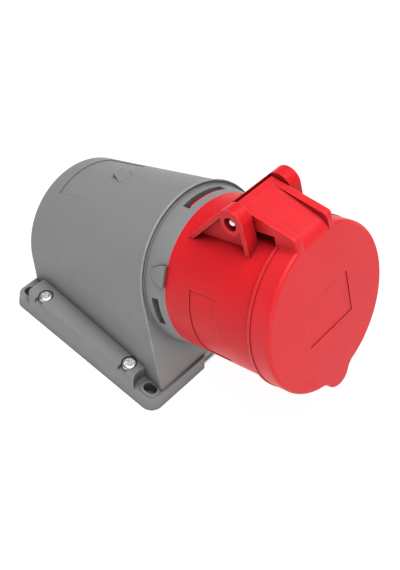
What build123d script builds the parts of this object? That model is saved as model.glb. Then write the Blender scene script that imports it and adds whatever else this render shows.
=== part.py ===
from build123d import *
import os
from math import asin, atan2, cos, degrees, hypot, radians, sin, tan

# Surface-mounted industrial power socket, five poles and a pilot contact, for a wall.
# A grey drafted base carries an arched hood whose tilted front collar holds a red socket body.
# The body has two hinge ears on top, and a sprung lid on a steel pin closes its mouth.
# The mounting face is Z = 0 and the origin is its centre.
# The socket points towards +X and rises by the tilt.
# Places on the tilted part are given as s, along the socket axis, and u, above it.
# s = 0 is over the back edge.

# Grey housing
tilt = 18.5  # degrees between the socket axis and the mounting face
base_length = 122.0
base_width = 130.0
base_corner_r = 7.5
base_draft = 12.0  # degrees, all four outer walls lean inwards
flange_height = 8.0
rail_height = 15.3
rail_back_margin = 10.8  # from the back edge of the base to the rail's back end
rail_front_margin = 16.2
rail_corner_r = 5.0
top_edge_r = 1.2
skirt_wall = 2.4
roof_wall = 2.6
hood_wall = 3.0
axis_height = 25.0  # socket axis above the mounting face, at the back edge
arch_tilt = 22.0  # degrees between the arch and the mounting face
arch_over_body = 2.9  # outside of the arch past the red body's
arch_rise = 0.4  # arch centre above the socket axis, at the front
arch_draft = 7.4  # degrees, legs of the arch
arch_back_lean = 12.0  # degrees, the back wall leans outwards
arch_back_margin = 2.0
arch_front_margin = 3.3
arch_back_r = 2.6
bead_width = 1.6
bead_height = 0.5
notch_width = 36.4
notch_depth = 3.2
tooth_setback = 51.9  # middle of the tooth behind the arch's front
tooth_aside = 1.6
tooth_turn = 25.0  # degrees
tooth_length = 10.5
tooth_width = 7.4
tooth_height = 3.0
hood_label_setback = 88.5  # its back edge behind the arch's front
hood_label_length = 33.5
hood_label_half_angle = 27.2
label_depth = 0.4

# Wall fixing and cover screws
slot_front_margin = 9.4
slot_back_margin = 8.2
slot_side_margin = 8.5
slot_length = 8.6
slot_width = 6.0
pad_length = 11.8
pad_width = 9.4
pad_corner_r = 3.6
pad_gap = 0.3
scallop_r = 9.4
screw_front_margin = 26.7
screw_back_margin = 22.8
screw_side_margin = 9.4
screw_head_r = 4.3
screw_head_height = 2.9
screw_dome_r = 1.6
screw_shank_r = 1.95
screw_hole_gap = 0.2  # in the hood
screw_recess = 1.9
screw_cross_length = 5.2
screw_cross_width = 1.1
pocket_gap = 0.4
pocket_depth = 2.5
pocket_mouth = 6.4  # way from the pocket through the rail's outer wall
boss_r = 3.0
plate_thickness = 2.4
plate_rib = 1.6
plate_gap = 0.3
back_pad_wall = 1.0

# Collar and bayonet windows
collar_length = 14.3
collar_flare = 1.7  # back of the collar past the red body's outside
window_start = 4.8  # in front of the hood's front wall
window_length = 4.6
window_half_angle = 11.3
top_window_angle = 81.6
top_window_half_angle = 18.6
lug_length = 2.6
lug_height = 1.6
lug_gap = 0.3  # in front of a lug, in its window
lug_end_angle = 1.6  # degrees, between a lug and the ends of its window
shield_angle = 150.5
shield_width = 11.4
shield_ridge_width = 10.4
shield_back_width = 4.2
shield_length = 10.0
shield_land = 3.0  # flat part in front of the ridge
shield_sink = 0.4  # back edge under the collar's surface
shield_height = 1.7

# Red socket body
body_r = 43.0
body_length = 57.3
body_wall = 2.5
spigot_step = 3.7  # spigot inside the body's outside
spigot_gap = 0.2
spigot_length = 21.5
spigot_wall = 2.7  # down to the bore that the plug's shroud slides in
sleeve_wall = 3.0
ledge_setback = 3.5  # three ledges in the bore hold the contact holder
ledge_thickness = 5.0
ledge_half_angle = 12.0
keyway_width = 8.0
keyway_depth = 2.2
key_bridge_half_angle = 14.0
body_label_setback = 39.7
body_label_length = 18.0
body_label_half_angle = 28.0
o_ring_setback = 11.4
o_ring_width = 2.0
o_ring_height = 1.4
o_ring_gap = 0.05

# Hinge
pin_setback = 18.2  # behind the front of the body
pin_rise = 10.8  # above the body's surface
pin_r = 1.75
pin_half_length = 19.4
pin_chamfer = 0.35
ear_r = 7.7
ear_inner_y = 14.0
ear_web = 3.5
ear_lip = 2.3
ear_outer_y = 21.5
ear_boss_r = 5.7
ear_bore_r = 3.7
ear_foot_setback = 34.2
ear_foot_drop = 17.2
bridge_gap = 0.5
bridge_tip = 4.5  # behind the pin

# Lid
lid_gap = 0.3
lid_depth = 12.8
lid_overhang = 1.3  # past the body's outside
lid_step = 0.4
lid_step_width = 1.5
lid_edge_r = 1.8
lid_wall = 2.3
lid_face = 3.0
lid_label_width = 34.1
lid_label_height = 24.8
lid_label_corner_r = 1.0
grip_r = 9.2
grip_overhang = 6.7
grip_blend_r = 8.0
grip_thickness = 8.0
arm_half_width = 13.5
arm_blend_r = 1.0
arm_rear_r = 6.3
arm_top_offset = 4.6  # rib line above the pin axis
arm_slope = 18.0  # degrees
arm_end_r = 4.0
rib_width = 4.0
deck_slope = 24.0  # degrees, the deck sinks between the ribs
deck_thickness = 1.3
deck_end_r = 8.0
gasket_thickness = 2.6
gasket_lip = 1.4  # inside the bore
gasket_rim = 2.0  # outside the sleeve
gasket_gap = 0.15

# Lid spring
coil_gap = 0.25
wire_r = 0.5
coil_turns = 6.75
coil_length = 15.4
spring_bar = 2.4
spring_bar_reach = 9.0
leg_hole_depth = 2.0  # in the top of the body
leg_slot_angle = 211.0  # middle of the slot in the lid's barrel that the standing leg swings through
leg_slot_half_angle = 39.0

# Contacts
plug_gap = 6.4  # between the body's bore and the carrier, for the plug's shroud
carrier_gap = 0.3
carrier_recess = 3.0
carrier_edge = 0.6
contact_inset = 9.7  # contacts' circle inside the carrier's outside
contact_recess = 2.5
contact_depth = 44.0
contact_gap = 0.1
contact_wall = 1.5
phase_bore_r = 4.05
earth_bore_r = 5.05
pilot_bore_r = 3.05
contact_collar = 1.2
contact_collar_thickness = 2.5
barrel_length = 16.0
wire_hole_wall = 1.9
wire_hole_depth = 12.0
holder_thickness = 8.0
clamp_screw_r = 1.9
clamp_screw_length = 4.6
clamp_screw_setback = 4.5
clamp_slot = 0.95  # width and depth
fixing_screw_r = 1.5
fixing_head_r = 2.8
fixing_head_height = 1.8
fixing_screw_grip = 4.0
fixing_inset = 3.3  # carrier screws' circle inside the bore
holder_screw_inset = 8.7

# Cable entry at the back
entry_height = 28.0
entry_r = 16.2
entry_gap = 0.2
gland_flats = 37.0
gland_flange = 4.0
gland_spigot = 11.0
gland_collar_r = 14.6
gland_collar_length = 7.0
gland_bore_r = 12.4
gland_nut_r = 17.0
gland_nut_length = 9.0
gland_nut_mouth_r = 10.5
gland_grips = 12
gland_grip_r = 1.4
cable_r = 8.5
gland_seal_length = 10.0
gland_gap = 0.15
locknut_flats = 38.0
locknut_thickness = 4.0

fit_gap = 0.06  # between a pin or screw and its hole, all round
overcut = 1.0  # how far a cutting tool runs past a surface

# Places worked out from the sizes above
half_length = base_length / 2
arch_r = body_r + arch_over_body
collar_back_r = body_r + collar_flare
spigot_r = body_r - spigot_step
bore_r = spigot_r - spigot_wall
sleeve_r = bore_r + sleeve_wall
lid_r = body_r + lid_overhang
grip_reach = lid_r + grip_overhang
gasket_inner_r = bore_r - gasket_lip
gasket_outer_r = sleeve_r + gasket_rim
carrier_r = bore_r - plug_gap
contact_pitch_r = carrier_r - contact_inset
holder_r = bore_r - carrier_gap
fixing_pitch_r = bore_r - fixing_inset
holder_screw_pitch_r = carrier_r - holder_screw_inset
pocket_r = screw_head_r + pocket_gap
axis_start = Vector(-half_length, 0, axis_height)
axis_dir = Vector(cos(radians(tilt)), 0, sin(radians(tilt)))
socket_axis = Axis(axis_start, axis_dir)
side_plane = Plane(axis_start, x_dir=axis_dir, z_dir=(0, -1, 0))
upward = Axis(axis_start, side_plane.y_dir)

arch_foot_x = half_length - arch_front_margin
hood_front_s = (Vector(arch_foot_x, 0, flange_height) - axis_start).dot(axis_dir)
collar_front_s = hood_front_s + collar_length
body_front_s = collar_front_s + body_length
lid_back_s = body_front_s + lid_gap
lid_face_s = lid_back_s + lid_depth
lid_inside_s = lid_face_s - lid_face
sleeve_front_s = lid_inside_s - gasket_thickness - gasket_gap
pin_s = body_front_s - pin_setback
pin_u = body_r + pin_rise
ledge_back_s = collar_front_s + ledge_setback
ledge_front_s = ledge_back_s + ledge_thickness
carrier_back_s = ledge_back_s
carrier_front_s = body_front_s - carrier_recess
contact_front_s = carrier_front_s - contact_recess
barrel_front_s = carrier_back_s - contact_collar_thickness
barrel_back_s = barrel_front_s - barrel_length
collar_bore_r = spigot_r + spigot_gap
windows = ((0, window_half_angle), (top_window_angle, top_window_half_angle),
           (180, window_half_angle), (270, window_half_angle))

# The arch has its own axis, a little steeper than the socket's.
# The cable comes in square to the arch's back wall.
arch_dir = Vector(cos(radians(arch_tilt)), 0, sin(radians(arch_tilt)))
arch_front = axis_start + axis_dir * hood_front_s + side_plane.y_dir * arch_rise
arch_side = Plane(arch_front, x_dir=arch_dir, z_dir=(0, -1, 0))
back_wall = Plane((-half_length + arch_back_margin, 0, flange_height), x_dir=(0, 1, 0),
                  z_dir=(cos(radians(arch_back_lean)), 0, sin(radians(arch_back_lean))))
entry = Plane(back_wall.origin + back_wall.y_dir * ((entry_height - flange_height) / back_wall.y_dir.Z),
              x_dir=(0, 1, 0), z_dir=back_wall.z_dir)

slot_front_x = half_length - slot_front_margin
slot_back_x = -half_length + slot_back_margin
slot_y = base_width / 2 - slot_side_margin
screw_y = base_width / 2 - screw_side_margin
screw_points = [
    (x, y)
    for x in (half_length - screw_front_margin, -half_length + screw_back_margin)
    for y in (-screw_y, screw_y)
]
pocket_floor = rail_height - pocket_depth
rail_back_x = -half_length + rail_back_margin
rail_front_x = half_length - rail_front_margin

contact_angles = {
    "contact_pe": 270, "contact_l1": 198, "contact_l2": 126, "contact_l3": 54, "contact_n": 342,
}
contact_bores = {name: phase_bore_r for name in contact_angles}
contact_bores["contact_pe"] = earth_bore_r
contact_places = {
    name: (contact_pitch_r * cos(radians(angle)), contact_pitch_r * sin(radians(angle)))
    for name, angle in contact_angles.items()
}
contact_bores["contact_pilot"] = pilot_bore_r
contact_places["contact_pilot"] = (0, 0)
contact_angles["contact_pilot"] = 90
fixing_angles = (50, 130, 270)
holder_screw_angles = (90, 234, 306)


def across(s):
    """Plane square to the socket axis: local X is the model's Y, and local Y points up from the axis."""
    return Plane(axis_start + axis_dir * s, x_dir=(0, 1, 0), z_dir=axis_dir)


def radial(angle):
    """Plane through the socket axis: local X runs along it, local Y points out, turned left from upright."""
    return Plane(axis_start, x_dir=axis_dir, z_dir=side_plane.z_dir.rotate(Axis((0, 0, 0), axis_dir), angle))


def turn(*points, mode=Mode.ADD, arc=360.0, start=0.0):
    """Revolve a closed (s, u) outline about the socket axis, starting at an angle off the upright."""
    with BuildSketch(radial(start)) as profile:
        with BuildLine():
            Polyline(*points, close=True)
        make_face()
    revolve(profile.sketch, axis=socket_axis, revolution_arc=arc, mode=mode)


def push(outline, plane, depth, mode=Mode.ADD, both=False):
    """Extrude what the outline function draws on a plane."""
    with BuildSketch(plane) as profile:
        outline()
    extrude(profile.sketch, amount=depth, both=both, mode=mode)


def on_both_sides(outline, inner_y, outer_y, mode=Mode.ADD):
    """Extrude a side-view outline between two distances from the middle plane, left and right."""
    for side in (-1, 1):
        push(outline, side_plane.offset(side * inner_y), side * (outer_y - inner_y), mode)


def disc(radius, x=0, y=0):
    """Outline function for a round at a place on the sketch plane."""
    def draw():
        with Locations((x, y)):
            Circle(radius)
    return draw


def hexagon(flats):
    """Outline function for a hexagon with two flats up and down."""
    def draw():
        RegularPolygon(radius=flats / 2, side_count=6, major_radius=False)
    return draw


def sector(inner_r, outer_r, middle_angle, half_angle):
    """Outline function for a ring sector across the socket axis, angles from the model's +Y towards up."""
    first = middle_angle - half_angle
    span = 2 * half_angle

    def draw():
        with BuildLine() as ring:
            inner = CenterArc((0, 0), inner_r, first, span)
            outer = CenterArc((0, 0), outer_r, first, span)
            Line(inner @ 0, outer @ 0)
            Line(inner @ 1, outer @ 1)
        make_face(ring.edges())
    return draw


def ring_places(pitch_r, angles):
    """Places on a circle across the socket axis."""
    return [(pitch_r * cos(radians(angle)), pitch_r * sin(radians(angle))) for angle in angles]


def closed(*points):
    """Outline function for a closed straight-sided shape."""
    def draw():
        Polygon(*points, align=None)
    return draw


def notch(gap):
    """Outline function for the notch in the front edge, wider in front, with a gap all round."""
    def draw():
        depth = notch_depth + gap
        half = notch_width / 2 + gap
        Polygon((half_length - depth, -half), (half_length + depth, -half - 2 * depth),
                (half_length + depth, half + 2 * depth), (half_length - depth, half), align=None)
    return draw


def base_outline(inset):
    """Plan of the base at the mounting face, moved in from the outer wall."""
    RectangleRounded(base_length - 2 * inset, base_width - 2 * inset, base_corner_r - inset)


def drafted(inset, height, mode=Mode.ADD, bottom=0.0):
    """Block inside the drafted outer walls, between two heights."""
    with BuildSketch(Plane.XY.offset(bottom)) as profile:
        base_outline(inset + bottom * tan(radians(base_draft)))
    extrude(profile.sketch, amount=height - bottom, taper=base_draft, mode=mode)


def arch_block(inset, first_s, back_inset, last_s, back_r=0.0):
    """Solid arch between two cuts square to the socket axis, down to the mounting face and the back wall."""
    radius = arch_r - inset
    lean = radians(arch_draft)
    spring = (radius * cos(lean), radius * sin(lean))
    foot = (spring[0] + base_width * sin(lean), spring[1] - base_width * cos(lean))
    with BuildPart() as block:
        with BuildSketch(Plane(arch_front, x_dir=(0, 1, 0), z_dir=arch_dir)):
            with BuildLine():
                CenterArc((0, 0), radius, arch_draft, 180 - 2 * arch_draft)
                Line(spring, foot)
                Line(foot, (-foot[0], foot[1]))
                Line((-foot[0], foot[1]), (-spring[0], spring[1]))
            make_face()
        extrude(amount=2 * base_length, both=True)
        split(bisect_by=across(first_s), keep=Keep.TOP)
        split(bisect_by=across(last_s), keep=Keep.BOTTOM)
        split(bisect_by=back_wall.offset(back_inset), keep=Keep.TOP)
        split(bisect_by=Plane.XY, keep=Keep.TOP)
        if back_r:
            back_face = faces().sort_by(Axis.X)[0]
            fillet(back_face.edges().filter_by_position(Axis.Z, overcut, base_length), radius=back_r)
    return block.part


# Outer arch of the hood, the bead at its front edge and its hollow
arch = arch_block(0, -base_length, 0, hood_front_s, arch_back_r)
arch_bead = arch_block(-bead_height, hood_front_s - bead_width, 0, hood_front_s)
arch_core = arch_block(hood_wall, -base_length, hood_wall, hood_front_s - hood_wall)

# Shield on the collar's left: a ramp that widens and rises to a ridge, with a flat land in front
shield_plane = radial(shield_angle - 90)
shield_back_s = collar_front_s - shield_length
shield_ridge_s = collar_front_s - shield_land
with BuildPart() as shield:
    push(closed((collar_front_s, spigot_r + hood_wall), (collar_front_s, body_r + shield_height),
                (shield_ridge_s, body_r + shield_height), (shield_back_s, collar_back_r - shield_sink),
                (shield_back_s, spigot_r + hood_wall)),
         shield_plane, shield_width / 2, both=True)
    push(closed((shield_back_s, -shield_back_width / 2), (shield_ridge_s, -shield_ridge_width / 2),
                (collar_front_s, -shield_width / 2), (collar_front_s, shield_width / 2),
                (shield_ridge_s, shield_ridge_width / 2), (shield_back_s, shield_back_width / 2)),
         Plane(axis_start, x_dir=axis_dir, z_dir=shield_plane.y_dir), 2 * body_r, Mode.INTERSECT)

# Tooth on top of the arch: a wedge that falls towards the front, turned aside
arch_up = Axis((0, 0, 0), arch_side.y_dir)
tooth_root = arch_r - hood_wall / 2
tooth_plane = Plane(arch_side.from_local_coords((-tooth_setback, 0, -tooth_aside)),
                    x_dir=arch_dir.rotate(arch_up, -tooth_turn),
                    z_dir=arch_side.z_dir.rotate(arch_up, -tooth_turn))

# The hollow under the rails ends a wall short of the scallops and of the back ends
rail_cavity_front_x = slot_front_x - scallop_r - skirt_wall
rail_cavity_back_x = rail_back_x + skirt_wall
rail_cavity_length = rail_cavity_front_x - rail_cavity_back_x
rail_cavity_x = (rail_cavity_front_x + rail_cavity_back_x) / 2

# Hood: drafted flange, two rails for the cover screws, arch and collar in one shell
with BuildPart() as hood:
    drafted(0, rail_height)
    with BuildSketch(Plane.XY.offset(flange_height)):
        with Locations((rail_front_x, 0)):
            Rectangle(base_length, base_width, align=(Align.MIN, Align.CENTER))
        with Locations((rail_back_x, 0)):
            Rectangle(base_length, base_width, align=(Align.MAX, Align.CENTER))
        with Locations((slot_front_x, slot_y), (slot_front_x, -slot_y)):
            Circle(scallop_r)
    extrude(amount=rail_height, mode=Mode.SUBTRACT)
    back_end = faces().filter_by(Axis.X).sort_by(Axis.X)[0]
    fillet(back_end.edges().filter_by(Axis.Y, reverse=True), radius=rail_corner_r)
    rail_top = faces().sort_by(Axis.Z)[-1]
    fillet(rail_top.edges().filter_by(Axis.X), radius=top_edge_r)
    add(arch)
    add(arch_bead)
    # Shallow label field on the arch
    label_plane = Plane(arch_front - arch_dir * hood_label_setback, x_dir=(0, 1, 0), z_dir=arch_dir)
    push(sector(arch_r - label_depth, arch_r + overcut, 90, hood_label_half_angle), label_plane,
         hood_label_length, Mode.SUBTRACT)
    push(closed((-tooth_length / 2, tooth_root), (-tooth_length / 2, arch_r + tooth_height),
                (tooth_length / 2, arch_r), (tooth_length / 2, tooth_root)),
         tooth_plane, tooth_width / 2, both=True)
    # Collar that holds the red body
    turn((hood_front_s - hood_wall, 0), (hood_front_s - hood_wall, collar_back_r),
         (hood_front_s, collar_back_r), (collar_front_s, body_r), (collar_front_s, 0))
    add(shield.part)
    # Hollows under the arch, the flange and the rails
    add(arch_core, mode=Mode.SUBTRACT)
    drafted(skirt_wall, flange_height - roof_wall, mode=Mode.SUBTRACT)
    with BuildSketch(Plane.XY) as rail_hollow:
        base_outline(skirt_wall)
        with Locations((rail_cavity_x, 0)):
            Rectangle(rail_cavity_length, base_width, mode=Mode.INTERSECT)
    extrude(rail_hollow.sketch, amount=pocket_floor - roof_wall, taper=base_draft, mode=Mode.SUBTRACT)
    # Round way through the front wall and the collar, with four windows for the bayonet lugs
    push(disc(collar_bore_r), across(hood_front_s - 2 * hood_wall), collar_length + 3 * hood_wall,
         Mode.SUBTRACT)
    for angle, half_angle in windows:
        push(sector(collar_bore_r - overcut, collar_back_r + overcut, angle, half_angle),
             across(hood_front_s + window_start), window_length, Mode.SUBTRACT)
    # Screw pockets and holes, slot openings, notch and cable entry
    for x, y in screw_points:
        push(disc(pocket_r, x, y), Plane.XY.offset(pocket_floor), rail_height, Mode.SUBTRACT)
        push(disc(screw_shank_r + screw_hole_gap, x, y), Plane.XY, rail_height, Mode.SUBTRACT)
        push(closed((x - pocket_mouth / 2, y), (x + pocket_mouth / 2, y), (x + pocket_mouth / 2, 2 * y),
                    (x - pocket_mouth / 2, 2 * y)),
             Plane.XY.offset(pocket_floor), rail_height, Mode.SUBTRACT)
    with BuildSketch(Plane.XY):
        with Locations((slot_front_x, slot_y), (slot_front_x, -slot_y)):
            RectangleRounded(pad_length + 2 * pad_gap, pad_width + 2 * pad_gap, pad_corner_r + pad_gap)
        with Locations((slot_back_x, slot_y), (slot_back_x, -slot_y)):
            SlotOverall(slot_length + 2 * pad_gap, slot_width + 2 * pad_gap)
    extrude(amount=flange_height + overcut, mode=Mode.SUBTRACT)
    push(notch(0), Plane.XY, rail_height, Mode.SUBTRACT)
    push(disc(entry_r), entry.offset(-overcut), 2 * hood_wall, Mode.SUBTRACT)

# Base plate: a tray inside the hood's skirt, with a rib under the flange, slot pads and screw bosses
flange_underside = flange_height - roof_wall
rail_underside = pocket_floor - roof_wall
plate_inset = skirt_wall + plate_gap
back_pad_x = slot_back_x + back_pad_wall / 2
with BuildPart() as base_plate:
    drafted(plate_inset, flange_underside)
    drafted(plate_inset + plate_rib, flange_height, Mode.SUBTRACT, bottom=plate_thickness)
    with BuildSketch(Plane.XY):
        with Locations((slot_front_x, slot_y), (slot_front_x, -slot_y)):
            RectangleRounded(pad_length, pad_width, pad_corner_r)
    extrude(amount=flange_height)
    with BuildSketch(Plane.XY):
        with Locations((back_pad_x, slot_y), (back_pad_x, -slot_y)):
            SlotOverall(slot_length + back_pad_wall, slot_width + 2 * back_pad_wall)
    extrude(amount=flange_underside)
    with BuildSketch(Plane.XY):
        with Locations(*screw_points):
            Circle(boss_r)
    extrude(amount=rail_underside)
    with BuildSketch(Plane.XY):
        with Locations(*[(x, y) for x in (slot_front_x, slot_back_x) for y in (-slot_y, slot_y)]):
            SlotOverall(slot_length, slot_width)
    extrude(amount=rail_height, mode=Mode.SUBTRACT)
    with BuildSketch(Plane.XY.offset(plate_thickness / 2)):
        with Locations(*screw_points):
            Circle(screw_shank_r + fit_gap)
    extrude(amount=rail_height, mode=Mode.SUBTRACT)
    push(notch(plate_gap), Plane.XY, rail_height, Mode.SUBTRACT)

# Four pan-head cover screws with a cross recess
with BuildPart() as cover_screws:
    with BuildSketch(Plane.XY.offset(pocket_floor)):
        with Locations(*screw_points):
            Circle(screw_head_r)
    extrude(amount=screw_head_height)
    fillet(faces().filter_by(Axis.Z).group_by(Axis.Z)[-1].edges(), radius=screw_dome_r)
    with BuildSketch(Plane.XY.offset(pocket_floor)):
        with Locations(*screw_points):
            Circle(screw_shank_r)
    extrude(amount=-(pocket_floor - plate_thickness))
    with BuildSketch(Plane.XY.offset(pocket_floor + screw_head_height)):
        with Locations(*screw_points):
            Rectangle(screw_cross_length, screw_cross_width)
            Rectangle(screw_cross_width, screw_cross_length)
    extrude(amount=-screw_recess, mode=Mode.SUBTRACT)

# Red socket body: shell, inner sleeve, spigot with bayonet lugs, hinge ears and the wall between them
spigot_back_s = collar_front_s - spigot_length
pin_point = (pin_s, pin_u)
coil_r = pin_r + coil_gap + wire_r
leg_y = coil_length / 2
foot_point = (pin_s - ear_foot_setback, pin_u - ear_foot_drop)
foot_reach = hypot(ear_foot_setback, ear_foot_drop)
ear_slope = atan2(ear_foot_drop, ear_foot_setback) + asin(ear_r / foot_reach)
ear_root_u = bore_r - body_wall
root_back = (foot_point[0] - (foot_point[1] - ear_root_u) * cos(ear_slope) / sin(ear_slope), ear_root_u)
bridge_end_s = pin_s - arm_rear_r - bridge_gap
bridge_tip_s = pin_s - bridge_tip


def ear_outline(inset):
    """Outline function for the ear: a round over the pin, a slope to the back and an upright front leg."""
    def draw():
        with BuildLine() as outline:
            touch_angle = 90 + degrees(ear_slope)
            cap = CenterArc(pin_point, ear_r, 0, touch_angle)
            Line(cap @ 1, root_back)
            Line(root_back, (pin_s + ear_r, ear_root_u))
            Line((pin_s + ear_r, ear_root_u), cap @ 0)
        make_face(outline.edges())
        if inset:
            offset(amount=-inset, kind=Kind.INTERSECTION)
    return draw


with BuildPart() as socket_body:
    push(ear_outline(0), side_plane, ear_outer_y, both=True)
    push(ear_outline(ear_lip), side_plane, ear_outer_y, Mode.SUBTRACT, both=True)
    on_both_sides(ear_outline(ear_lip / 2), ear_inner_y, ear_inner_y + ear_web)
    on_both_sides(disc(ear_boss_r, *pin_point), ear_inner_y, ear_outer_y)
    push(closed((bridge_end_s, ear_root_u), (pin_s + 2 * ear_r, ear_root_u),
                (pin_s + 2 * ear_r, pin_u + 2 * ear_r), (bridge_tip_s, pin_u + 2 * ear_r),
                (bridge_tip_s, pin_u), (bridge_end_s, pin_u)),
         side_plane, ear_inner_y, Mode.SUBTRACT, both=True)
    push(disc(arm_rear_r + bridge_gap, *pin_point), side_plane, ear_inner_y, Mode.SUBTRACT, both=True)
    turn((collar_front_s, 0), (collar_front_s, body_r), (body_front_s, body_r), (body_front_s, sleeve_r),
         (sleeve_front_s, sleeve_r), (sleeve_front_s, 0))
    turn((spigot_back_s, 0), (spigot_back_s, spigot_r), (collar_front_s, spigot_r), (collar_front_s, 0))
    for angle, half_angle in windows:
        push(sector(bore_r + body_wall / 2, spigot_r + lug_height, angle, half_angle - lug_end_angle),
             across(hood_front_s + window_start + window_length - lug_length - lug_gap), lug_length)
    # Bore for the plug, with three ledges inside that the contact holder is screwed to
    turn((spigot_back_s - overcut, 0), (spigot_back_s - overcut, bore_r), (sleeve_front_s + overcut, bore_r),
         (sleeve_front_s + overcut, 0), mode=Mode.SUBTRACT)
    for angle in fixing_angles:
        push(sector(carrier_r + carrier_gap, bore_r + spigot_wall / 2, angle, ledge_half_angle),
             across(ledge_back_s), ledge_thickness)
    # Slot between shell and sleeve, open in front and bridged at the bottom behind the keyway
    turn((ledge_front_s, sleeve_r), (ledge_front_s, body_r - body_wall),
         (body_front_s + overcut, body_r - body_wall), (body_front_s + overcut, sleeve_r),
         mode=Mode.SUBTRACT, arc=360 - 2 * key_bridge_half_angle, start=180 + key_bridge_half_angle)
    with BuildSketch(across(ledge_front_s)) as keyway:
        with Locations((0, -bore_r - keyway_depth)):
            Rectangle(keyway_width, bore_r, align=(Align.CENTER, Align.MIN))
    extrude(keyway.sketch, amount=sleeve_front_s - ledge_front_s + overcut, mode=Mode.SUBTRACT)
    # O-ring groove, label field, pin holes, the spring leg's hole and the holes for the carrier's screws
    turn((collar_front_s - o_ring_setback, spigot_r - o_ring_height),
         (collar_front_s - o_ring_setback + o_ring_width, spigot_r - o_ring_height),
         (collar_front_s - o_ring_setback + o_ring_width, spigot_r + overcut),
         (collar_front_s - o_ring_setback, spigot_r + overcut), mode=Mode.SUBTRACT)
    push(sector(body_r - label_depth, body_r + overcut, 180, body_label_half_angle),
         across(body_front_s - body_label_setback), body_label_length, Mode.SUBTRACT)
    on_both_sides(disc(ear_bore_r, *pin_point), ear_inner_y + ear_web, ear_outer_y + overcut, Mode.SUBTRACT)
    on_both_sides(disc(pin_r + fit_gap, *pin_point), ear_inner_y - overcut, ear_outer_y, Mode.SUBTRACT)
    leg_top = side_plane.offset(-leg_y).from_local_coords((pin_s + coil_r, body_r))
    push(disc(wire_r + fit_gap), Plane(leg_top, x_dir=axis_dir, z_dir=side_plane.y_dir), -leg_hole_depth,
         Mode.SUBTRACT)
    with BuildSketch(across(ledge_back_s)) as carrier_screw_holes:
        with Locations(*ring_places(fixing_pitch_r, fixing_angles)):
            Circle(fixing_screw_r + fit_gap)
    extrude(carrier_screw_holes.sketch, amount=fixing_screw_grip, mode=Mode.SUBTRACT)

# O-ring between the spigot and the collar
with BuildPart() as spigot_seal:
    turn((collar_front_s - o_ring_setback, spigot_r - o_ring_height),
         (collar_front_s - o_ring_setback + o_ring_width, spigot_r - o_ring_height),
         (collar_front_s - o_ring_setback + o_ring_width, collar_bore_r - o_ring_gap),
         (collar_front_s - o_ring_setback, collar_bore_r - o_ring_gap))

# Contact carrier: a round block that the plug's shroud surrounds
with BuildPart() as contact_carrier:
    push(disc(carrier_r), across(carrier_back_s), carrier_front_s - carrier_back_s)
    for name, place in contact_places.items():
        push(disc(contact_bores[name] + contact_wall + contact_gap, *place), across(carrier_back_s),
             carrier_front_s - carrier_back_s, Mode.SUBTRACT)
    face = faces().sort_by(socket_axis)[-1]
    chamfer(face.edges(), length=carrier_edge)
    for place in ring_places(holder_screw_pitch_r, holder_screw_angles):
        push(disc(fixing_screw_r + fit_gap, *place), across(carrier_back_s), 2 * fixing_screw_grip,
             Mode.SUBTRACT)


def clamp_plane(name, distance):
    """Plane square to a contact's clamp screw, at a distance from the contact's axis."""
    middle = across(barrel_back_s + clamp_screw_setback)
    outward = radians(contact_angles[name])
    direction = middle.x_dir * cos(outward) + middle.y_dir * sin(outward)
    return Plane(middle.from_local_coords(contact_places[name]) + direction * distance, z_dir=direction)


def contact(name):
    """Brass contact: a tube for the plug's pin, a collar against the carrier and a barrel for the wire."""
    place = contact_places[name]
    bore = contact_bores[name]
    radius = bore + contact_wall
    with BuildPart() as piece:
        push(disc(radius, *place), across(barrel_back_s), contact_front_s - barrel_back_s)
        push(disc(radius + contact_collar, *place), across(barrel_front_s), contact_collar_thickness)
        push(disc(bore, *place), across(contact_front_s), -contact_depth, Mode.SUBTRACT)
        push(disc(radius - wire_hole_wall, *place), across(barrel_back_s), wire_hole_depth, Mode.SUBTRACT)
        push(disc(clamp_screw_r + fit_gap), clamp_plane(name, 0), radius + overcut, Mode.SUBTRACT)
    return piece


def clamp_screw(name):
    """Slotted grub screw, square to the socket axis, that holds the wire in a contact's barrel."""
    tip = clamp_plane(name, contact_bores[name] + contact_wall - wire_hole_wall)
    push(disc(clamp_screw_r), tip, clamp_screw_length)
    with BuildSketch(tip.offset(clamp_screw_length)) as slot:
        Rectangle(2 * clamp_screw_r + overcut, clamp_slot)
    extrude(slot.sketch, amount=-clamp_slot, mode=Mode.SUBTRACT)


contacts = {name: contact(name) for name in contact_places}
with BuildPart() as terminal_screws:
    for name in contact_places:
        clamp_screw(name)

# Holder: a disc that clamps the contacts' collars and closes the back of the gap for the plug's shroud
holder_back = across(carrier_back_s - holder_thickness)
with BuildPart() as terminal_holder:
    push(disc(holder_r), across(carrier_back_s), -holder_thickness)
    for name, place in contact_places.items():
        radius = contact_bores[name] + contact_wall
        push(disc(radius + contact_gap, *place), across(carrier_back_s), -holder_thickness, Mode.SUBTRACT)
        push(disc(radius + contact_collar + contact_gap, *place), across(carrier_back_s),
             -contact_collar_thickness, Mode.SUBTRACT)
    for place in (ring_places(holder_screw_pitch_r, holder_screw_angles)
                  + ring_places(fixing_pitch_r, fixing_angles)):
        push(disc(fixing_screw_r + fit_gap, *place), holder_back, holder_thickness, Mode.SUBTRACT)

# Screws from the holder into the carrier, and from the holder into the body's ledges
with BuildPart() as holder_screws:
    for place in ring_places(holder_screw_pitch_r, holder_screw_angles):
        push(disc(fixing_head_r, *place), holder_back, -fixing_head_height)
        push(disc(fixing_screw_r, *place), holder_back,
             holder_thickness + 2 * fixing_screw_grip - carrier_gap)

with BuildPart() as carrier_screws:
    for place in ring_places(fixing_pitch_r, fixing_angles):
        push(disc(fixing_head_r, *place), holder_back, -fixing_head_height)
        push(disc(fixing_screw_r, *place), holder_back, holder_thickness + fixing_screw_grip - carrier_gap)

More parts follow.
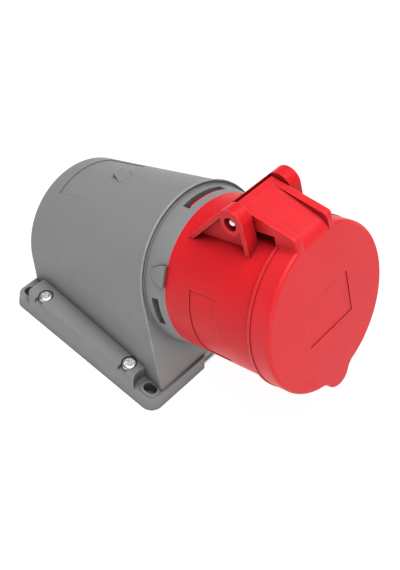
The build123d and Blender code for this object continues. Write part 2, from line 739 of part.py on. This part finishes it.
# Lid: a round cap with a grip below and a two-ribbed arm above, whose barrel turns on the pin
slope = radians(arm_slope)
arm_normal = Vector(sin(slope), cos(slope))
arm_along = Vector(cos(slope), -sin(slope))
rib_line = Vector(pin_s, pin_u) + arm_normal * arm_top_offset
rib_start = rib_line - arm_along * 2 * arm_rear_r
rib_front = rib_line + arm_along * ((lid_face_s - rib_line.X) / arm_along.X)
arm_high_u = pin_u + arm_rear_r
arm_low_u = pin_u - arm_rear_r
deck_drop = tan(radians(deck_slope))
deck_front_u = rib_line.Y - (lid_face_s - rib_line.X) * deck_drop
deck_under = deck_thickness / cos(radians(deck_slope))
coil_space = coil_r + wire_r + coil_gap
channel_corner_s = rib_line.X + (rib_line.Y - deck_under - pin_u - coil_space) / deck_drop
channel_front_u = rib_line.Y - deck_under - (lid_back_s - lid_wall - rib_line.X) * deck_drop
deck_half_width = arm_half_width - rib_width


def above(start, corner, end_r):
    """Outline function for all above a slope of the arm, whose front end rounds into the lid's face."""
    def draw():
        with BuildLine() as outline:
            FilletPolyline(start, corner, (corner[0], corner[1] - end_r), radius=end_r)
            Polyline((corner[0], corner[1] - end_r), (corner[0] + overcut, corner[1] - end_r),
                     (corner[0] + overcut, arm_high_u + arm_rear_r),
                     (start[0], arm_high_u + arm_rear_r), start)
        make_face(outline.edges())
    return draw


with BuildPart() as lid:
    push(disc(lid_r), across(lid_face_s), -lid_depth)
    push(disc(grip_r, 0, grip_r - grip_reach), across(lid_face_s), -grip_thickness)
    grip_corners = edges().filter_by(socket_axis).group_by(upward)[0]
    fillet(grip_corners, radius=grip_blend_r)
    with BuildSketch(across(lid_face_s)) as arm_front:
        Rectangle(2 * arm_half_width, arm_high_u, align=(Align.CENTER, Align.MIN))
    extrude(arm_front.sketch, amount=-lid_depth)
    arm_corners = edges().filter_by(socket_axis).group_by(upward)[-2]
    fillet(arm_corners, radius=arm_blend_r)
    fillet(faces().sort_by(socket_axis)[-1].edges(), radius=lid_edge_r)
    turn((lid_back_s, 0), (lid_back_s, lid_r + lid_step), (lid_back_s + lid_step_width, lid_r + lid_step),
         (lid_back_s + lid_step_width, 0))
    push(disc(arm_rear_r, *pin_point), side_plane, arm_half_width, both=True)
    push(closed((pin_s, arm_low_u), (lid_back_s, arm_low_u), (lid_back_s, arm_high_u), (pin_s, arm_high_u)),
         side_plane, arm_half_width, both=True)
    push(above((rib_start.X, rib_start.Y), (lid_face_s, rib_front.Y), arm_end_r),
         side_plane, arm_half_width + overcut, Mode.SUBTRACT, both=True)
    push(above((rib_line.X, rib_line.Y), (lid_face_s, deck_front_u), deck_end_r),
         side_plane, deck_half_width, Mode.SUBTRACT, both=True)
    # Channel under the deck for the spring, with a bar that the spring's front leg presses on
    channel_foot = pin_u - 2 * arm_rear_r
    push(closed((pin_s - coil_space, channel_foot), (pin_s - coil_space, pin_u + coil_space),
                (channel_corner_s, pin_u + coil_space), (lid_back_s - lid_wall, channel_front_u),
                (lid_back_s - lid_wall, channel_foot)),
         side_plane, deck_half_width, Mode.SUBTRACT, both=True)
    bar_s = pin_s + spring_bar_reach
    bar_u = pin_u - coil_r - wire_r - fit_gap - spring_bar
    push(closed((bar_s, bar_u), (bar_s + spring_bar, bar_u), (bar_s + spring_bar, bar_u + spring_bar),
                (bar_s, bar_u + spring_bar)), side_plane, deck_half_width, both=True)
    leg_slot_middle = side_plane.offset(-leg_y).from_local_coords(pin_point)
    push(sector(pin_r, arm_rear_r + overcut, leg_slot_angle, leg_slot_half_angle),
         Plane(leg_slot_middle, x_dir=axis_dir, z_dir=side_plane.z_dir),
         wire_r + coil_gap, Mode.SUBTRACT, both=True)
    turn((lid_back_s - overcut, 0), (lid_back_s - overcut, lid_r - lid_wall),
         (lid_inside_s, lid_r - lid_wall), (lid_inside_s, 0), mode=Mode.SUBTRACT)
    push(disc(pin_r + fit_gap, *pin_point), side_plane, arm_half_width + overcut, Mode.SUBTRACT, both=True)
    with BuildSketch(across(lid_face_s)) as lid_field:
        RectangleRounded(lid_label_width, lid_label_height, lid_label_corner_r)
    extrude(lid_field.sketch, amount=-label_depth, mode=Mode.SUBTRACT)

with BuildPart() as lid_gasket:
    turn((lid_inside_s - gasket_thickness, gasket_inner_r),
         (lid_inside_s - gasket_thickness, gasket_outer_r),
         (lid_inside_s, gasket_outer_r), (lid_inside_s, gasket_inner_r))

with BuildPart() as hinge_pin:
    push(disc(pin_r, *pin_point), side_plane, pin_half_length, both=True)
    chamfer(edges(), length=pin_chamfer)

# Torsion spring on the pin: its front leg lies on the lid's bar and its back leg stands in the body's hole
coil_start = Plane(side_plane.offset(leg_y).from_local_coords(pin_point),
                   x_dir=-side_plane.y_dir, z_dir=-side_plane.z_dir)
coil_path = coil_start.location * Helix(coil_length / coil_turns, coil_length, coil_r, mode=Mode.PRIVATE)
front_tip = coil_path @ 0 + axis_dir * (spring_bar_reach + spring_bar)
back_tip = coil_path @ 1 - side_plane.y_dir * (pin_u - body_r + leg_hole_depth - coil_gap)
with BuildPart() as lid_spring:
    with BuildSketch(Plane(front_tip, z_dir=-axis_dir)) as wire:
        Circle(wire_r)
    spring_path = Wire([Edge.make_line(front_tip, coil_path @ 0), *coil_path.edges(),
                        Edge.make_line(coil_path @ 1, back_tip)])
    sweep(wire.sketch, path=spring_path)

# Cable gland in the back wall: body, locknut inside, rubber seal and clamping nut
def on_entry(start, radius, length, mode=Mode.ADD):
    """Round about the entry's axis, from a distance inside the back wall's outer face."""
    push(disc(radius), entry.offset(start), length, mode)


gland_end = -gland_flange - gland_collar_length
with BuildPart() as gland_body:
    push(hexagon(gland_flats), entry, -gland_flange)
    on_entry(gland_end, gland_collar_r, gland_collar_length)
    on_entry(0, entry_r - entry_gap, gland_spigot)
    on_entry(gland_end, gland_bore_r, gland_seal_length, Mode.SUBTRACT)
    on_entry(gland_end, gland_nut_mouth_r, gland_spigot - gland_end, Mode.SUBTRACT)

with BuildPart() as gland_seal:
    on_entry(gland_end, gland_bore_r - gland_gap, gland_seal_length)
    on_entry(gland_end, cable_r, gland_seal_length, Mode.SUBTRACT)

nut_front = -gland_flange - gland_gap
with BuildPart() as gland_nut:
    on_entry(nut_front, gland_nut_r, -gland_nut_length)
    fillet(faces().sort_by(Axis(entry.origin, entry.z_dir))[0].edges(), radius=gland_grip_r)
    on_entry(nut_front, gland_collar_r + gland_gap, -gland_collar_length, Mode.SUBTRACT)
    on_entry(nut_front, gland_nut_mouth_r, -gland_nut_length, Mode.SUBTRACT)
    with BuildSketch(entry.offset(nut_front)):
        with PolarLocations(gland_nut_r + gland_grip_r / 2, gland_grips):
            Circle(gland_grip_r)
    extrude(amount=-gland_collar_length, mode=Mode.SUBTRACT)

with BuildPart() as gland_locknut:
    push(hexagon(locknut_flats), entry.offset(hood_wall), locknut_thickness)
    on_entry(hood_wall, entry_r - entry_gap + fit_gap, locknut_thickness, Mode.SUBTRACT)

pieces = {
    "base_plate": base_plate, "hood": hood, "cover_screws": cover_screws,
    "socket_body": socket_body, "spigot_seal": spigot_seal,
    "contact_carrier": contact_carrier, "carrier_screws": carrier_screws,
    **contacts,
    "terminal_screws": terminal_screws, "terminal_holder": terminal_holder, "holder_screws": holder_screws,
    "lid": lid, "lid_gasket": lid_gasket, "hinge_pin": hinge_pin, "lid_spring": lid_spring,
    "gland_body": gland_body, "gland_seal": gland_seal, "gland_nut": gland_nut,
    "gland_locknut": gland_locknut,
}
os.makedirs("parts", exist_ok=True)
for name, piece in pieces.items():
    piece.part.label = name
    export_step(piece.part, f"parts/{name}.step")
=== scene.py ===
import math

import bmesh
import bpy
from mathutils import Matrix, Vector


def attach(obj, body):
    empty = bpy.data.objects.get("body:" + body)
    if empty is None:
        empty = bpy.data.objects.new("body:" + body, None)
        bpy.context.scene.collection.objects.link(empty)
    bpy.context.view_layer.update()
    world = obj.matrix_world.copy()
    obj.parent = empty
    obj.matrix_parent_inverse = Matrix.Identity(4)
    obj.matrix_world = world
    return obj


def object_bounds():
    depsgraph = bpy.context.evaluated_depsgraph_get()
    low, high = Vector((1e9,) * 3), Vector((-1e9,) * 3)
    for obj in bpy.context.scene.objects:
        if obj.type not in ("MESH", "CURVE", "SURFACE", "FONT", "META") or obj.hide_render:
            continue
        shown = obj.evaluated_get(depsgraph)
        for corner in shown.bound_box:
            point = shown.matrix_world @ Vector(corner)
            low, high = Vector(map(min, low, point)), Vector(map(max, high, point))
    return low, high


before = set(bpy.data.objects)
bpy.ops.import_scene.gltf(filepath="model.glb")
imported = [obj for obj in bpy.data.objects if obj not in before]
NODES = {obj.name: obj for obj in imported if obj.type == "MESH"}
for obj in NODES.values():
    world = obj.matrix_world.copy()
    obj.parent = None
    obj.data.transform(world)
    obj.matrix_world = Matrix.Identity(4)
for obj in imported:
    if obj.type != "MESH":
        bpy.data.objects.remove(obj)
cad_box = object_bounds()

# Camera, fitted to the photograph
AZIMUTH = math.radians(41.86)
ELEVATION = math.radians(49.15)
ROLL = math.radians(0.88)
TARGET = Vector((0.06320, -0.02896, 0.08274))
DISTANCE = 0.3877
LENS = 48.96
NEAR_CLIP = 0.01

# Lights: name, place, the point it looks at, size and watts
LIGHTS = (
    ("key", (0.12, 0.05, 1.1), (0.06, 0.0, 0.06), 1.0, 15.0),
    ("fill", (0.9, -0.75, 0.45), (0.08, 0.0, 0.06), 0.5, 2.9),
)
WHITE = (1.0, 1.0, 1.0)
SKY_GLOW = 0.12
HORIZON_BAND = 0.16  # rise over which the floor's white fades into the sky

# Floor, whose glow stops inside the base's edge as painted shade under the base, so that its fixing
# slots look dark
FLOOR = (0.14, 0.14, 0.14)
FLOOR_HALF = 3.0
FLOOR_DROP = 0.0005
FLOOR_ROUGHNESS = 0.9
FLOOR_GLOW = 0.95
BASE_HALF = (0.061, 0.065)
FOOTPRINT_EDGE = (0.94, 0.97)

# Colours as linear values
GREY = (0.235, 0.235, 0.236)
GREY_DARK = (0.17, 0.17, 0.172)
RED = (0.66, 0.013, 0.019)
RED_LID = (0.70, 0.018, 0.025)
BLACK = (0.02, 0.02, 0.022)
RUBBER = (0.012, 0.012, 0.013)
BRASS = (0.95, 0.74, 0.36)
ZINC = (0.92, 0.92, 0.90)
STEEL = (0.85, 0.85, 0.86)

# Moulded plastics: name, colour, grain in metres, roughness, gloss and CAD nodes
PLASTICS = (
    ("grey_plastic", GREY, 0.00045, 0.50, 0.35, ["hood"]),
    ("grey_plate_plastic", GREY, 0.00045, 0.55, 0.5, ["base_plate"]),
    ("gland_plastic", GREY_DARK, 0.0005, 0.45, 0.5, ["gland_body", "gland_nut", "gland_locknut"]),
    ("red_plastic", RED, 0.00035, 0.40, 0.18, ["socket_body"]),
    ("red_lid_plastic", RED_LID, 0.00035, 0.40, 0.25, ["lid"]),
    ("black_plastic", BLACK, 0.0004, 0.50, 0.5, ["contact_carrier", "terminal_holder"]),
)
RUBBER_NODES = ["lid_gasket", "spigot_seal", "gland_seal"]

# Metals: name, colour, roughness and CAD nodes
CONTACTS = [name for name in NODES if name.startswith("contact_") and name != "contact_carrier"]
SCREWS = ["cover_screws", "carrier_screws", "holder_screws", "terminal_screws"]
METALS = (
    ("brass", BRASS, 0.36, CONTACTS),
    ("zinc", ZINC, 0.34, SCREWS),
    ("steel", STEEL, 0.22, ["hinge_pin", "lid_spring"]),
)

# Marks of plastic. Sizes are in metres, bands are the part of a noise that shows, tones are
# factors of the colour, and swings are changes of the roughness.
CLOUD_BAND = (0.3, 0.7)
CLOUD_SIZE = 0.022
CLOUD_TONES = (0.965, 1.035)
SPECK_SIZE = 0.0012
SPECK_BAND = (0.35, 0.75)
SPECK_SHARE = 0.35
SPECK_TONE = 1.08
SCUFF_SIZE = 0.006
SCUFF_BAND = (0.4, 0.62)
SCUFF_LEAST = 0.45
SHEEN_SIZE = 0.009
SHEEN_SWING = (-0.05, 0.06)
GRAIN_STRENGTH = 0.22
GRAIN_DEPTH = 0.00006
PLASTIC_EDGE_R = 0.0002

# Marks of plastic at edges, corners and pockets. Paler edges are rubbed wear and a painted highlight;
# darker corners and pockets are painted shade. Openness is how free the surroundings are within the
# reach: first where the mark starts, then where it is full.
# Edges: paled partly as rubbed wear, partly as a painted highlight
EDGE_REACH = 0.0006
EDGE_OPENNESS = (0.92, 0.45)
EDGE_WEAR_AND_HIGHLIGHT = 0.9
EDGE_GAIN = 1.4
EDGE_LIFT = 0.08
# Corners: darkened as painted shade
CORNER_REACH = 0.0008
CORNER_OPENNESS = (0.98, 0.65)
CORNER_PAINTED_SHADE = 0.8
CORNER_SHADE_TONE = 0.35
# Pockets: wide darkening as painted shade
POCKET_REACH = 0.010
POCKET_OPENNESS = (0.92, 0.45)
POCKET_SHADE = 0.8
POCKET_SHADE_TONE = 0.3
OPENNESS_SAMPLES = 8
BEVEL_SAMPLES = 6

# Marks of metal
METAL_CLOUD_SIZE = 0.003
METAL_TONES = (0.86, 1.08)
METAL_SHEEN_SIZE = 0.0015
METAL_SHEEN_SWING = (-0.08, 0.1)
METAL_GRAIN = 0.0006
METAL_GRAIN_STRENGTH = 0.25
METAL_GRAIN_DEPTH = 0.00003
METAL_EDGE_R = 0.00015

# Marks of rubber
BLOOM_SIZE = 0.008
BLOOM_BAND = (0.4, 0.75)
BLOOM_TONE = 2.0
RUBBER_ROUGHNESS = 0.75
RUBBER_GRAIN = 0.0007
RUBBER_GRAIN_STRENGTH = 0.3
RUBBER_GRAIN_DEPTH = 0.00005
RUBBER_EDGE_R = 0.0002

# The tilted part, in metres: s runs along the socket axis, and angles run from +Y towards up
AXIS_START = Vector((-0.061, 0.0, 0.025))
TILT = math.radians(18.5)
ALONG = Vector((math.cos(TILT), 0.0, math.sin(TILT)))
ACROSS = Vector((0.0, 1.0, 0.0))
UP = Vector((-math.sin(TILT), 0.0, math.cos(TILT)))
HOOD_FRONT_S = 0.10717
ARCH_RISE = 0.0004
ARCH_EDGE_R = 0.0464
ARCH_DRAFT = math.radians(7.4)
FLANGE_TOP = 0.008
COLLAR_BACK_R = 0.0447
PIN_PLACE = (0.074203, 0.12697)
PIN_END = 0.0194

# Beads on the hood's front edge and at the collar's root
FRONT_BEAD_R = 0.00065
FRONT_BEAD_SINK = 0.00025
FRONT_BEAD_SETBACK = 0.00015
ROOT_BEAD_R = 0.0004
ROOT_BEAD_LEAD = 0.0001
BEAD_TAPER = 0.35
BEAD_SIDES = 12
ARCH_STEPS = 96
RING_STEPS = 120

# Red lug under the top window. Its leads are in front of the hood's front.
LUG_RADII = (0.0405, 0.0431)
LUG_LEADS = (0.0074, 0.0092)
LUG_MIDDLE = math.radians(81.6)
LUG_HALF_ANGLE = math.radians(16.5)
LUG_STEPS = 24
LUG_EDGE = 0.0002
LUG_EDGE_SEGMENTS = 2
SHARP_ANGLE = math.radians(40)

# Domed ends of the hinge pin: radii, and heights past the pin's end
DOME_TIP = 0.0014
DOME_PROFILE = (
    (0.0009, 0.00128),
    (0.0016, 0.00095),
    (0.0021, 0.00045),
    (0.0023, 0.0),
    (0.0023, -0.0018),
)
DOME_STEPS = 32


def map_range(tree, source, low, high, first, second):
    """Maps the stretch from low to high of a value to the stretch from first to second."""
    node = tree.nodes.new("ShaderNodeMapRange")
    for name, value in zip(("From Min", "From Max", "To Min", "To Max"), (low, high, first, second)):
        node.inputs[name].default_value = value
    tree.links.new(source, node.inputs["Value"])
    return node.outputs["Result"]


class Shader:
    """A material's node tree with short ways to add nodes and links."""

    def __init__(self, name):
        self.material = bpy.data.materials.new(name)
        self.material.use_nodes = True
        self.tree = self.material.node_tree
        self.base = self.tree.nodes["Principled BSDF"]

    def add(self, kind, **values):
        """New node with its properties or input values set by name."""
        node = self.tree.nodes.new(kind)
        for key, value in values.items():
            if key in node.inputs:
                node.inputs[key].default_value = value
            else:
                setattr(node, key, value)
        return node

    def link(self, source, target):
        """Joins an output to an input."""
        self.tree.links.new(source, target)

    def place(self):
        """Object coordinates, in metres."""
        return self.add("ShaderNodeTexCoord").outputs["Object"]

    def maths(self, operation, *values):
        """Result of an operation on values, each a socket or a number."""
        node = self.add("ShaderNodeMath", operation=operation)
        for socket, value in zip(node.inputs, values):
            if isinstance(value, float):
                socket.default_value = value
            else:
                self.link(value, socket)
        return node.outputs["Value"]

    def noise(self, size, detail, roughness=0.5):
        """Noise with grains of about the size, in metres."""
        node = self.add("ShaderNodeTexNoise", Scale=1.0 / size, Detail=detail, Roughness=roughness)
        self.link(self.place(), node.inputs["Vector"])
        return node.outputs["Fac"]

    def ramp(self, source, band, first=0.0, second=1.0):
        """Maps a band of a value to the stretch from first to second."""
        return map_range(self.tree, source, *band, first, second)

    def cloud(self, size, detail, first=0.0, second=1.0):
        """Noise that spreads from a first value to a second."""
        return self.ramp(self.noise(size, detail), CLOUD_BAND, first, second)

    def mix(self, factor, first, second):
        """Blends two colours, each a socket or three numbers."""
        node = self.add("ShaderNodeMix", data_type="RGBA")
        self.link(factor, node.inputs["Factor"])
        for name, colour in (("A", first), ("B", second)):
            socket = [s for s in node.inputs if s.name == name and s.type == "RGBA"][0]
            if isinstance(colour, tuple):
                socket.default_value = (*colour, 1.0)
            else:
                self.link(colour, socket)
        return [s for s in node.outputs if s.type == "RGBA"][0]

    def near(self, reach, inside, openness):
        """Mask that rises to one near an outer edge when looking inside, or else near a corner."""
        node = self.add("ShaderNodeAmbientOcclusion", samples=OPENNESS_SAMPLES, inside=inside)
        node.inputs["Distance"].default_value = reach
        return self.ramp(node.outputs["AO"], openness)

    def paint(self, tone):
        """Sets the base colour."""
        self.link(tone, self.base.inputs["Base Color"])

    def sheen(self, size, detail, roughness, swing):
        """Cloudy roughness that swings about a middle value."""
        first, second = (roughness + change for change in swing)
        self.link(self.cloud(size, detail, first, second), self.base.inputs["Roughness"])

    def bump(self, height, strength, distance, edge_radius):
        """Height on top of rounded edges, as the surface's normal."""
        edges = self.add("ShaderNodeBevel", samples=BEVEL_SAMPLES)
        edges.inputs["Radius"].default_value = edge_radius
        node = self.add("ShaderNodeBump", Strength=strength, Distance=distance)
        self.link(height, node.inputs["Height"])
        self.link(edges.outputs["Normal"], node.inputs["Normal"])
        self.link(node.outputs["Normal"], self.base.inputs["Normal"])


def scaled(colour, factor):
    """Colour made lighter or darker by a factor."""
    return tuple(min(1.0, value * factor) for value in colour)


def worn_and_highlit(colour):
    """Paler colour of a rubbed edge, which also serves as a painted highlight."""
    return tuple(min(1.0, value * EDGE_GAIN + EDGE_LIFT) for value in colour)


def moulded(name, colour, grain, roughness, gloss):
    """Moulded plastic: fine grain, cloudy colour, edges paled by rubbed wear and painted highlight,
    corners and pockets darkened as painted shade.
    """
    s = Shader(name)
    tone = s.mix(s.cloud(CLOUD_SIZE, detail=4.0), *(scaled(colour, factor) for factor in CLOUD_TONES))
    specks = s.ramp(s.noise(SPECK_SIZE, detail=2.0), SPECK_BAND, second=SPECK_SHARE)
    tone = s.mix(specks, tone, scaled(colour, SPECK_TONE))
    scuffs = s.ramp(s.noise(SCUFF_SIZE, detail=6.0, roughness=0.7), SCUFF_BAND, first=SCUFF_LEAST)
    # Paler edges: rubbed wear where the scuffs fall, and a painted highlight
    edges = s.maths("MULTIPLY", s.near(EDGE_REACH, True, EDGE_OPENNESS), scuffs)
    tone = s.mix(s.maths("MULTIPLY", edges, EDGE_WEAR_AND_HIGHLIGHT), tone, worn_and_highlit(colour))
    # Darker concave corners are painted shade
    corners = s.maths("MULTIPLY", s.near(CORNER_REACH, False, CORNER_OPENNESS), CORNER_PAINTED_SHADE)
    tone = s.mix(corners, tone, scaled(colour, CORNER_SHADE_TONE))
    # Wide darkening in pockets and recesses is painted shade
    painted_pocket_shade = s.maths("MULTIPLY", s.near(POCKET_REACH, False, POCKET_OPENNESS), POCKET_SHADE)
    s.paint(s.mix(painted_pocket_shade, tone, scaled(colour, POCKET_SHADE_TONE)))
    s.sheen(SHEEN_SIZE, 5.0, roughness, SHEEN_SWING)
    s.base.inputs["Specular IOR Level"].default_value = gloss
    s.bump(s.noise(grain, detail=2.0), GRAIN_STRENGTH, GRAIN_DEPTH, PLASTIC_EDGE_R)
    return s.material


def metal(name, colour, roughness):
    """Bare or plated metal with fine marks and a cloudy sheen."""
    s = Shader(name)
    s.base.inputs["Metallic"].default_value = 1.0
    cloud = s.cloud(METAL_CLOUD_SIZE, detail=5.0)
    s.paint(s.mix(cloud, *(scaled(colour, factor) for factor in METAL_TONES)))
    s.sheen(METAL_SHEEN_SIZE, 4.0, roughness, METAL_SHEEN_SWING)
    s.bump(s.noise(METAL_GRAIN, detail=4.0), METAL_GRAIN_STRENGTH, METAL_GRAIN_DEPTH, METAL_EDGE_R)
    return s.material


def rubber(name, colour):
    """Matt rubber with a dusty bloom."""
    s = Shader(name)
    bloom = s.ramp(s.noise(BLOOM_SIZE, detail=5.0), BLOOM_BAND)
    s.paint(s.mix(bloom, colour, scaled(colour, BLOOM_TONE)))
    s.base.inputs["Roughness"].default_value = RUBBER_ROUGHNESS
    s.bump(s.noise(RUBBER_GRAIN, detail=3.0), RUBBER_GRAIN_STRENGTH, RUBBER_GRAIN_DEPTH, RUBBER_EDGE_R)
    return s.material


def finish(material, names):
    """Gives CAD nodes a material."""
    for name in names:
        mesh = NODES[name].data
        mesh.materials.clear()
        mesh.materials.append(material)


def outward(angle):
    """Direction across the socket axis at an angle."""
    return ACROSS * math.cos(angle) + UP * math.sin(angle)


def turns(count):
    """Angles of evenly spaced points round a circle."""
    return [2 * math.pi * index / count for index in range(count)]


def arch_edge(radius, s):
    """Points and outward directions up one leg of the arch, over its top and down the other leg."""
    middle = AXIS_START + ALONG * s + UP * ARCH_RISE
    path = []
    for step in range(ARCH_STEPS + 1):
        out = outward(ARCH_DRAFT + (math.pi - 2 * ARCH_DRAFT) * step / ARCH_STEPS)
        path.append((middle + out * radius, out))
    feet = []
    for side, (point, out) in ((1, path[0]), (-1, path[-1])):
        down = ACROSS * side * math.sin(ARCH_DRAFT) - UP * math.cos(ARCH_DRAFT)
        feet.append((point + down * ((point.z - FLANGE_TOP) / -down.z), out))
    return [feet[0], *path, feet[1]]


def ring(radius, s):
    """Points and outward directions round the socket axis."""
    middle = AXIS_START + ALONG * s
    return [(middle + outward(turn) * radius, outward(turn)) for turn in turns(RING_STEPS)]


def skin(mesh, rings, closed=False, tip=None):
    """Faces along rings of points, which join up when closed and else end flat or in a tip."""
    pairs = list(zip(rings, rings[1:]))
    if closed:
        pairs.append((rings[-1], rings[0]))
    for first, second in pairs:
        for side in range(len(first)):
            after = (side + 1) % len(first)
            mesh.faces.new((first[side], first[after], second[after], second[side]))
    if closed:
        return
    mesh.faces.new(rings[-1])
    if tip is None:
        mesh.faces.new(rings[0][::-1])
        return
    for side in range(len(rings[0])):
        mesh.faces.new((tip, rings[0][side], rings[0][(side + 1) % len(rings[0])]))


def add_piece(name, mesh, trim):
    """Smooth-shaded piece from mesh code. Its trim is the material, the slot and the body; the slot is
    not used.
    """
    material, slot, body = trim
    bmesh.ops.recalc_face_normals(mesh, faces=mesh.faces)
    for face in mesh.faces:
        face.smooth = True
    data = bpy.data.meshes.new(name)
    mesh.to_mesh(data)
    mesh.free()
    data.materials.append(material)
    piece = bpy.data.objects.new(name, data)
    bpy.context.scene.collection.objects.link(piece)
    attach(piece, body)


def add_bead(name, path, radius, trim, closed=False):
    """Round bead along a path, with tapered ends where the path is open."""
    mesh = bmesh.new()
    ends = () if closed else (0, len(path) - 1)
    rings = []
    for index, (point, out) in enumerate(path):
        size = radius * BEAD_TAPER if index in ends else radius
        rings.append([mesh.verts.new(point + size * (out * math.cos(turn) + ALONG * math.sin(turn)))
                      for turn in turns(BEAD_SIDES)])
    skin(mesh, rings, closed)
    add_piece(name, mesh, trim)


def add_window_lug(name, trim):
    """Red lug bent round the socket axis, with rounded edges."""
    mesh = bmesh.new()
    inner_r, outer_r = LUG_RADII
    back_s, front_s = (HOOD_FRONT_S + lead for lead in LUG_LEADS)
    corners = ((back_s, inner_r), (back_s, outer_r), (front_s, outer_r), (front_s, inner_r))
    rings = []
    for step in range(LUG_STEPS + 1):
        out = outward(LUG_MIDDLE + LUG_HALF_ANGLE * (2 * step / LUG_STEPS - 1))
        rings.append([mesh.verts.new(AXIS_START + ALONG * s + out * r) for s, r in corners])
    skin(mesh, rings)
    sharp = [edge for edge in mesh.edges if edge.calc_face_angle(0.0) > SHARP_ANGLE]
    bmesh.ops.bevel(mesh, geom=sharp, offset=LUG_EDGE, segments=LUG_EDGE_SEGMENTS, affect="EDGES")
    add_piece(name, mesh, trim)


def add_pin_dome(name, side, trim):
    """Domed end of the hinge pin in an ear's hole, revolved about the pin."""
    mesh = bmesh.new()
    middle = Vector((PIN_PLACE[0], side * PIN_END, PIN_PLACE[1]))
    rings = []
    for radius, height in DOME_PROFILE:
        spots = [Vector((radius * math.cos(turn), side * height, radius * math.sin(turn)))
                 for turn in turns(DOME_STEPS)]
        rings.append([mesh.verts.new(middle + spot) for spot in spots])
    skin(mesh, rings, tip=mesh.verts.new(middle + ACROSS * side * DOME_TIP))
    add_piece(name, mesh, trim)


def add_camera():
    """Camera at the photograph's place, angle and roll."""
    flat = math.cos(ELEVATION)
    back = Vector((math.sin(AZIMUTH) * flat, -math.cos(AZIMUTH) * flat, math.sin(ELEVATION)))
    level = Vector((math.cos(AZIMUTH), math.sin(AZIMUTH), 0.0))
    rise = back.cross(level)
    right = level * math.cos(ROLL) + rise * math.sin(ROLL)
    up = rise * math.cos(ROLL) - level * math.sin(ROLL)
    camera = bpy.data.objects.new("camera", bpy.data.cameras.new("camera"))
    bpy.context.scene.collection.objects.link(camera)
    turn = Matrix((right, up, back)).transposed().to_4x4()
    camera.matrix_world = Matrix.Translation(TARGET + back * DISTANCE) @ turn
    camera.data.lens = LENS
    camera.data.clip_start = NEAR_CLIP
    bpy.context.scene.camera = camera


def add_light(name, place, aim, size, watts):
    """Square soft light that looks at a point."""
    light = bpy.data.objects.new(name, bpy.data.lights.new(name, "AREA"))
    light.data.size = size
    light.data.energy = watts
    light.location = place
    light.rotation_euler = (Vector(aim) - Vector(place)).to_track_quat("-Z", "Y").to_euler()
    bpy.context.scene.collection.objects.link(light)


def footprint(s):
    """Distance from the middle of the base, one at the base's edge."""
    parts = s.add("ShaderNodeSeparateXYZ")
    s.link(s.place(), parts.inputs["Vector"])
    shares = [s.maths("DIVIDE", parts.outputs[axis], half) for axis, half in zip("XY", BASE_HALF)]
    return s.maths("MAXIMUM", *(s.maths("ABSOLUTE", share) for share in shares))


def add_floor():
    """Pale floor under the part, with its glow cut off under the base as painted shade."""
    mesh = bpy.data.meshes.new("floor")
    corners = [(x * FLOOR_HALF, y * FLOOR_HALF, 0) for x, y in ((-1, -1), (1, -1), (1, 1), (-1, 1))]
    mesh.from_pydata(corners, [], [(0, 1, 2, 3)])
    floor = bpy.data.objects.new("floor", mesh)
    floor.location.z = cad_box[0][2] - FLOOR_DROP
    bpy.context.scene.collection.objects.link(floor)
    s = Shader("floor")
    s.base.inputs["Base Color"].default_value = (*FLOOR, 1.0)
    s.base.inputs["Roughness"].default_value = FLOOR_ROUGHNESS
    s.base.inputs["Emission Color"].default_value = (*WHITE, 1.0)
    glow = s.ramp(footprint(s), FOOTPRINT_EDGE, second=FLOOR_GLOW)
    s.link(glow, s.base.inputs["Emission Strength"])
    mesh.materials.append(s.material)


def set_world():
    """Even dim surroundings that brighten to the floor's white at the horizon."""
    world = bpy.data.worlds.new("studio")
    world.use_nodes = True
    tree = world.node_tree
    background = tree.nodes["Background"]
    background.inputs["Color"].default_value = (*WHITE, 1.0)
    direction = tree.nodes.new("ShaderNodeTexCoord").outputs["Generated"]
    parts = tree.nodes.new("ShaderNodeSeparateXYZ")
    tree.links.new(direction, parts.inputs["Vector"])
    glow = map_range(tree, parts.outputs["Z"], 0.0, HORIZON_BAND, 1.0, SKY_GLOW)
    tree.links.new(glow, background.inputs["Strength"])
    bpy.context.scene.world = world


finishes = {}
for name, colour, grain, roughness, gloss, nodes in PLASTICS:
    finishes[name] = moulded(name, colour, grain, roughness, gloss)
    finish(finishes[name], nodes)
finish(rubber("black_rubber", RUBBER), RUBBER_NODES)
for name, colour, roughness, nodes in METALS:
    finishes[name] = metal(name, colour, roughness)
    finish(finishes[name], nodes)

hood_trim = (finishes["grey_plastic"], "grey_hood", "housing")
body_trim = (finishes["red_plastic"], "red_body", "housing")
pin_trim = (finishes["steel"], "pin_steel", "housing")
front_edge = arch_edge(ARCH_EDGE_R - FRONT_BEAD_SINK, HOOD_FRONT_S - FRONT_BEAD_SETBACK)
add_bead("hood_front_bead", front_edge, FRONT_BEAD_R, hood_trim)
collar_root = ring(COLLAR_BACK_R, HOOD_FRONT_S + ROOT_BEAD_LEAD)
add_bead("collar_root_bead", collar_root, ROOT_BEAD_R, hood_trim, closed=True)
add_window_lug("top_window_lug", body_trim)
add_pin_dome("pin_end_right", -1, pin_trim)
add_pin_dome("pin_end_left", 1, pin_trim)

add_camera()
add_floor()
set_world()
for light in LIGHTS:
    add_light(*light)
bpy.context.scene.view_settings.view_transform = "Standard"
